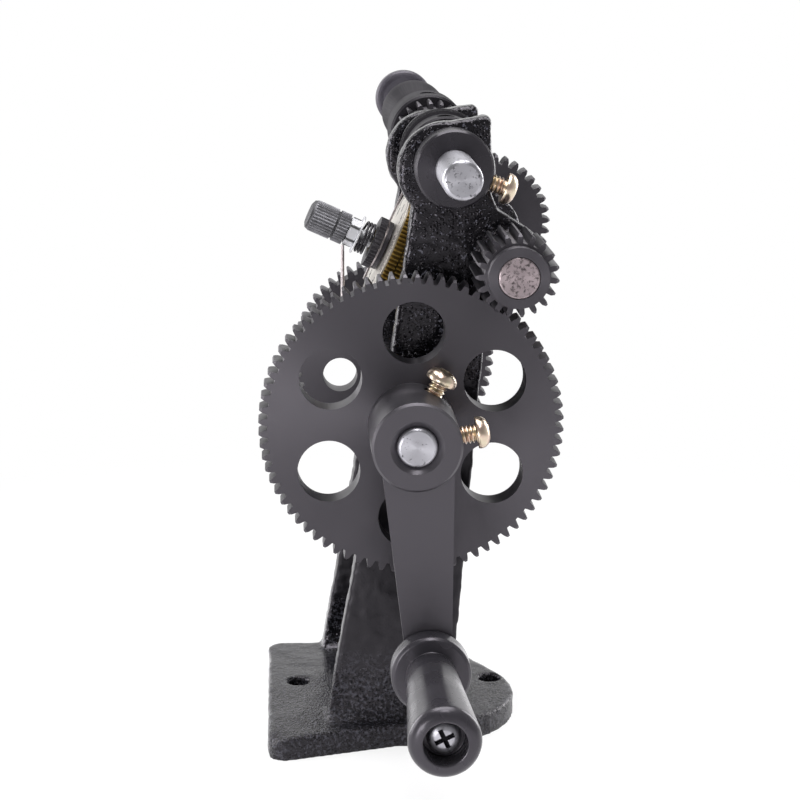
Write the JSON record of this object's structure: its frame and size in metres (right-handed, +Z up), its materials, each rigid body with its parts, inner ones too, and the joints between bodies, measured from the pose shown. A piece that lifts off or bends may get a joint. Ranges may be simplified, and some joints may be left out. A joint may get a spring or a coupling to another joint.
{
  "type": "hand winding machine",
  "caption": "Bench hand winder: a cast two-web frame, crank and step-up gear train to a long winding spindle with centring cones, and a worm-driven brass turn counter.",
  "frame": {"origin": "midway between the two base bolt holes, on the underside of the base", "axes": "+Z up; -Y towards the crank and the person who turns it, so +Y runs along the winding spindle to its free end; +X to the right as that person looks"},
  "size_m": [0.0847, 0.3105, 0.1676],
  "materials": {
    "casting": "rough black enamel over a sand casting",
    "black_steel": "blackened, satin",
    "bright_steel": "ground",
    "yellow_zinc": "yellow zinc plated",
    "brass": "cut brass, satin",
    "dial": "pale satin",
    "grey_knob": "dark grey anodised, knurled"
  },
  "bodies": {
    "frame": {"frame_casting": "casting", "counter_stud": "bright_steel", "counter_spring": "black_steel", "counter_washer": "bright_steel", "counter_nut": "bright_steel", "stop_wire": "bright_steel"},
    "crank": {"main_shaft": "bright_steel", "big_gear": "black_steel", "big_gear_screw": "yellow_zinc", "crank_arm": "black_steel", "crank_screw": "yellow_zinc", "handle_bolt": "bright_steel", "shaft_clip": "black_steel"},
    "handle": {"handle_grip": "black_steel"},
    "slow_gear": {"slow_gear": "black_steel", "slow_gear_screw": "yellow_zinc"},
    "intermediate": {"intermediate_shaft": "bright_steel", "front_pinion": "black_steel", "step_gear": "black_steel"},
    "spindle": {"spindle": "bright_steel", "counter_worm": "black_steel", "worm_set_screw": "black_steel", "spindle_collar": "black_steel", "collar_screw": "yellow_zinc", "spindle_pinion": "black_steel", "pinion_set_screw": "black_steel", "near_cone": "black_steel", "cone_set_screw": "black_steel", "end_nut": "black_steel"},
    "far_clamp": {"far_cone": "black_steel", "clamp_nut": "black_steel"},
    "units": {"units_wheel": "brass", "dial_plate": "dial"},
    "hundreds": {"hundreds_wheel": "brass", "friction_ring": "black_steel"},
    "pointer": {"pointer": "bright_steel", "setting_ring": "black_steel"},
    "thumb_knob": {"counter_knob": "grey_knob"}
  },
  "joints": [
    {"name": "crank_turn", "type": "hinge", "parent": "frame", "child": "crank", "pos_m": [0.002, -0.05, 0.0902], "axis": [0, -1, 0], "continuous": true},
    {"name": "handle_spin", "type": "hinge", "parent": "crank", "child": "handle", "pos_m": [0.00517, -0.091, 0.03344], "axis": [0, -1, 0], "continuous": true},
    {"name": "slow_gear_turn", "type": "hinge", "parent": "frame", "child": "slow_gear", "pos_m": [0.002, 0.05, 0.0902], "axis": [0, -1, 0], "continuous": true},
    {"name": "intermediate_turn", "type": "hinge", "parent": "frame", "child": "intermediate", "pos_m": [0.02766, 0, 0.13017], "axis": [0, -1, 0], "continuous": true},
    {"name": "spindle_turn", "type": "hinge", "parent": "frame", "child": "spindle", "pos_m": [0.01324, 0, 0.15475], "axis": [0, -1, 0], "continuous": true},
    {"name": "far_clamp_slide", "type": "slide", "parent": "spindle", "child": "far_clamp", "axis": [0, 1, 0], "range_m": [-0.008, 0.032]},
    {"name": "units_turn", "type": "hinge", "parent": "frame", "child": "units", "pos_m": [0.0011, 0.0009, 0.12787], "axis": [-0.9114, 0, 0.4115], "continuous": true},
    {"name": "hundreds_turn", "type": "hinge", "parent": "frame", "child": "hundreds", "pos_m": [0.0011, 0.0009, 0.12787], "axis": [-0.9114, 0, 0.4115], "continuous": true},
    {"name": "pointer_set", "type": "hinge", "parent": "hundreds", "child": "pointer", "pos_m": [0.0011, 0.0009, 0.12787], "axis": [-0.9114, 0, 0.4115], "continuous": true},
    {"name": "knob_turn", "type": "hinge", "parent": "frame", "child": "thumb_knob", "pos_m": [-0.01713, 0.0009, 0.1361], "axis": [-0.9114, 0, 0.4115], "continuous": true}
  ],
  "couplings": [
    {"joint": "intermediate_turn", "follows": "crank_turn", "ratio": -4},
    {"joint": "spindle_turn", "follows": "crank_turn", "ratio": 8},
    {"joint": "slow_gear_turn", "follows": "crank_turn", "ratio": 2.6667},
    {"joint": "units_turn", "follows": "crank_turn", "ratio": 0.08},
    {"joint": "hundreds_turn", "follows": "crank_turn", "ratio": 0.079208}
  ]
}
